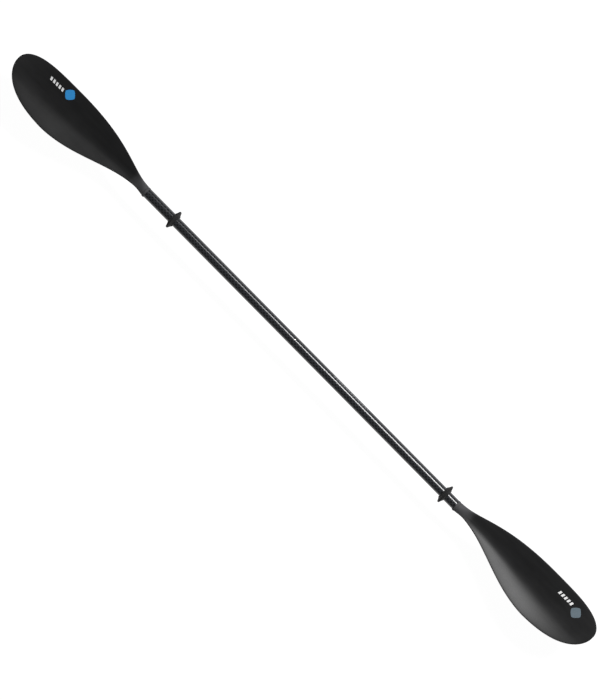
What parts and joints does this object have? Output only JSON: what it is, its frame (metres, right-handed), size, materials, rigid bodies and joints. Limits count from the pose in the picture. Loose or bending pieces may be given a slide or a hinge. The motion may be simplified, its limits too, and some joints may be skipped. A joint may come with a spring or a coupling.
{
  "type": "kayak paddle",
  "caption": "Long round-shaft paddle with a spooned asymmetric blade at each end, sliding drip rings and a push-button centre ferrule that sets the feather angle.",
  "frame": {"origin": "under the middle of the paddle, level with the lowest point of the drip rings", "axes": "+X along the shaft from the left blade to the right blade, +Z out of both power faces, +Y towards the narrow edges of the blades; the shaft's axis runs at y 8.7 mm, z 29 mm"},
  "size_m": [2.2, 0.1469, 0.0655],
  "materials": {
    "black_nylon": "moulded glass-filled nylon, satin",
    "black_fibreglass": "wound fibreglass tube under clear gloss resin",
    "dark_fibreglass": "ground fibreglass sleeve, dull",
    "grey_plastic": "moulded cap",
    "black_rubber": "moulded rubber, matte",
    "stainless_steel": "stamped steel, polished",
    "grey_foam": "closed-cell foam",
    "white_film": "printed film",
    "blue_film": "printed film",
    "slate_film": "printed film"
  },
  "bodies": {
    "left_half": {"left_blade": "black_nylon", "left_shaft_tube": "black_fibreglass", "left_blade_rivet": "stainless_steel", "left_float_plug": "grey_foam", "ferrule_float_plug": "grey_foam", "left_blade_badge": "blue_film", "left_blade_stripe": "white_film"},
    "ferrule_seal": {"ferrule_o_ring": "black_rubber"},
    "right_half": {"right_blade": "black_nylon", "right_shaft_tube": "black_fibreglass", "ferrule_insert": "dark_fibreglass", "ferrule_end_cap": "grey_plastic", "button_spring": "stainless_steel", "right_blade_rivet": "stainless_steel", "right_float_plug": "grey_foam", "right_blade_badge": "slate_film", "right_blade_stripe": "white_film"},
    "snap_button": {"snap_button": "stainless_steel"},
    "left_drip_ring": {"left_drip_ring": "black_rubber"},
    "right_drip_ring": {"right_drip_ring": "black_rubber"}
  },
  "joints": [
    {"name": "ferrule_pull", "type": "slide", "parent": "left_half", "child": "ferrule_seal", "axis": [1, 0, 0], "range_m": [0, 0.1]},
    {"name": "feather_twist", "type": "hinge", "parent": "ferrule_seal", "child": "right_half", "pos_m": [0, 0.0087, 0.029], "axis": [1, 0, 0], "range_deg": [-75, 75]},
    {"name": "button_travel", "type": "slide", "parent": "right_half", "child": "snap_button", "axis": [0, 0.5878, 0.809], "range_m": [0, 0.0035], "stiffness_N_per_m": 800, "springref_m": 0.006, "deforming": ["button_spring"]},
    {"name": "left_ring_slide", "type": "slide", "parent": "left_half", "child": "left_drip_ring", "axis": [1, 0, 0], "range_m": [-0.079, 0.45]},
    {"name": "right_ring_slide", "type": "slide", "parent": "right_half", "child": "right_drip_ring", "axis": [1, 0, 0], "range_m": [-0.542, 0.016]}
  ]
}
